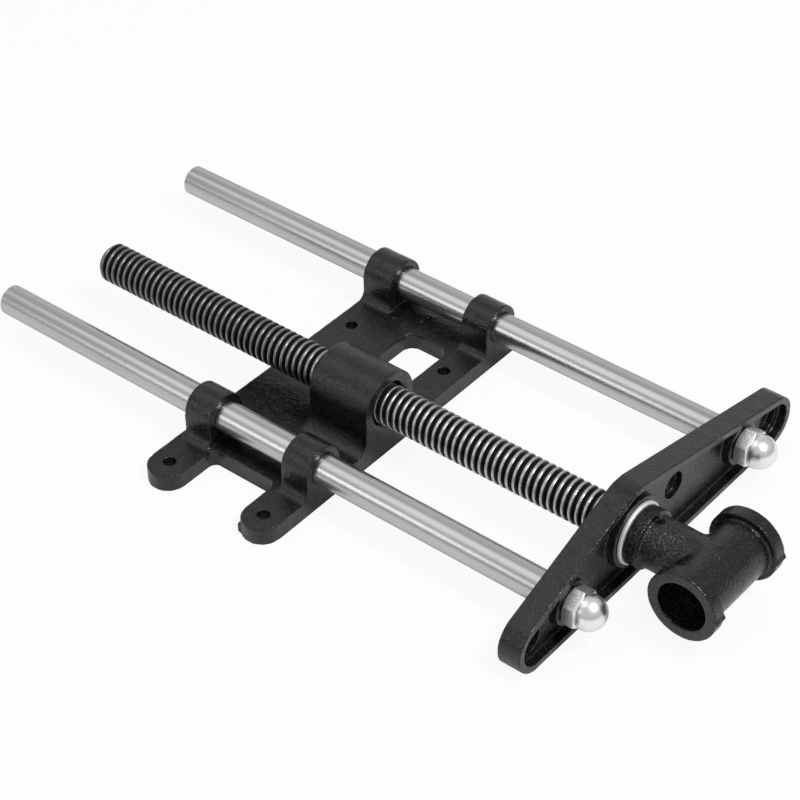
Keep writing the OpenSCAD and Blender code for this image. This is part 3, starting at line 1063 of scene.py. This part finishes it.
def bright_plating(name, haze, flats_from):
    """Satin zinc plating, as rough as its haze, and duller from a place along Y on."""
    material, net = ground(name)
    where = place(net)
    cloud = grain(net, where, cells=160, detail=3)
    pit = grain(net, where, cells=1100, detail=2)
    bloom = spread(net, cloud * 0.6 + pit * 0.4, 0.38, 0.62)
    dull = spread(net, split(net, where).sister("Y"), flats_from, flats_from + CHAMFER_WIDTH)
    bright = blend(net, bloom, PLATING_CLOUDY, PLATING_CLEAR)
    mottled_painted_reflection = blend(net, spread(net, pit, 0.4, 0.6), FLATS_DARK, FLATS_PALE)
    # The flats are painted darker: partly their own duller zinc, partly a painted dark reflection.
    shade = blend(net, dull, bright, mottled_painted_reflection)
    gloss = haze + 0.22 * dull + 0.08 * cloud + 0.05 * pit
    skin = bump(net, cloud * 0.5 + pit * 0.5, strength=0.1, depth=PLATING_RELIEF)
    close(net, base_color=shade, metallic=1.0, roughness=gloss, normal=skin)
    return material


coat_with(bright_plating("bright_plating", NUT_HAZE, FLATS_FROM), *nuts)
coat_with(bright_plating("hazy_plating", WASHER_HAZE, NO_FLATS), washer)

# %% [markdown]
# ## The floor
# The vise lies on seamless white. More light would whiten a grey floor and wash out the vise with it, so
# the floor is a matt pale sheet at the plain light level, and Light Path mixes white into what the camera
# sees of it and a little into what the metal reflects. The rest of the sheet keeps a trace of the vise's
# shadow.

# %% Floor
FLOOR_SIZE = 3.0
FLOOR_GAP = 0.1 * MM
FLOOR_WHITE = 0.84
WHITE_TO_CAMERA = 0.92
WHITE_IN_REFLECTIONS = 0.2


def white_share(net, to_camera, in_reflections):
    """How much plain white a ray meets, if it comes from the camera or from a reflection."""
    rays = net.add("ShaderNodeLightPath")
    bounced = rays.sister("Is Glossy Ray") + rays.sister("Is Transmission Ray")
    return rays.sister("Is Camera Ray") * to_camera + bounced * in_reflections


def add_floor():
    """A large white sheet just under the mounting face."""
    bm = bmesh.new()
    bmesh.ops.create_grid(bm, x_segments=1, y_segments=1, size=FLOOR_SIZE)
    bmesh.ops.translate(bm, verts=bm.verts, vec=(0, 0, cad_box[0].z - FLOOR_GAP))
    floor = make_object("floor", bm)
    material, net = ground("white_paper")
    share = white_share(net, WHITE_TO_CAMERA, WHITE_IN_REFLECTIONS)
    paper = net.add("ShaderNodeBsdfDiffuse", {}, {"Color": rgb(FLOOR_WHITE)})
    white = net.add("ShaderNodeEmission", {}, {"Color": rgb(1), "Strength": 1.0})
    mixed = net.add("ShaderNodeMixShader", {}, {0: share, 1: paper, 2: white})
    net.add("ShaderNodeOutputMaterial", {}, {"Surface": mixed})
    coat_with(material, floor)


add_floor()
print("floor of", 2 * FLOOR_SIZE, "m a side")

# %% [markdown]
# ## The dome
# Polished rods show a studio plainly, so the photograph's own rods told where its light came from: a dim
# even dome, dark at the horizon but for a glow at the rear, and brighter at the right rear. A lighting
# picture could hold this, but the direction's own parts, spread over short ranges, do it with no file. To
# the camera the world is plain white, and reflections show a tenth of that white.

# %% Dome
SKY = 0.45
HORIZON = 0.03
REAR_GLOW = 0.44
RIGHT_GLOW = 0.44
ABOVE_HORIZON = (0.06, 0.14)
AT_THE_REAR = (0.55, 0.8)
TO_THE_RIGHT = (0.3, 1.0)
RIGHT_REAR_HALF = (0.1, 0.5)
DOME_WHITE_IN_REFLECTIONS = 0.1


def add_dome():
    """The world: white to the camera, and otherwise the dome."""
    world = bpy.data.worlds.new("studio")
    world.use_nodes = True
    world.node_tree.nodes.clear()
    scene.world = world
    net = Wire(world.node_tree)
    towards = split(net, net.add("ShaderNodeTexCoord", out="Generated"))
    x, y, z = (towards.sister(axis) for axis in "XYZ")
    clear = spread(net, z, *ABOVE_HORIZON)
    rear = spread(net, y, *AT_THE_REAR)
    right = spread(net, x, *TO_THE_RIGHT) * spread(net, y, *RIGHT_REAR_HALF)
    low = HORIZON + REAR_GLOW * rear
    sky = low + clear * (SKY - low + RIGHT_GLOW * right)
    dome = net.add("ShaderNodeBackground", {}, {"Color": rgb(1), "Strength": sky})
    white = net.add("ShaderNodeBackground", {}, {"Color": rgb(1), "Strength": 1.0})
    share = white_share(net, 1.0, DOME_WHITE_IN_REFLECTIONS)
    mixed = net.add("ShaderNodeMixShader", {}, {0: share, 1: dome, 2: white})
    net.add("ShaderNodeOutputWorld", {}, {"Surface": mixed})


add_dome()
print("dome of", SKY, "with a horizon of", HORIZON)

# %% [markdown]
# ## The lamps
# A wide soft panel hangs overhead and to the rear. A soft box stands at the left rear, and its bulb shows
# as a brighter spot in the middle. A small strong box above the front gives edges their glints, and the
# rods never see it. Each lamp is set by how bright its face looks, because that is what polished metal
# shows.

# %% Lamps
LAMP_REACH = 2.0
AIM = Vector((0.04, -0.05, 0))
LEFT_REAR = (-0.79, 0.47, 0.39)
LAMPS = {
    "overhead_rear_panel": {"towards": (-0.18, 0.38, 0.905), "size": 1.3, "glow": 0.72},
    "left_rear_box": {"towards": LEFT_REAR, "size": 0.5, "glow": 2.2},
    "left_rear_bulb": {"towards": LEFT_REAR, "size": 0.15, "glow": 12.0},
    "front_box": {"towards": (0.0, -0.52, 0.85), "size": 0.4, "glow": 42.0},
}


def add_lamp(name, towards, size, glow):
    """A square lamp that faces the vise; its glow is how bright its face looks, and 1 is white."""
    lamp = bpy.data.lights.new(name, "AREA")
    lamp.shape, lamp.size, lamp.energy = "SQUARE", size, glow * math.pi * size ** 2
    holder = bpy.data.objects.new(name, lamp)
    holder.location = AIM + Vector(towards).normalized() * LAMP_REACH
    holder.rotation_euler = (AIM - holder.location).to_track_quat("-Z", "Y").to_euler()
    scene.collection.objects.link(holder)
    return holder


lamps = [add_lamp(name, **row) for name, row in LAMPS.items()]
print("lamps:", [lamp.name for lamp in lamps])
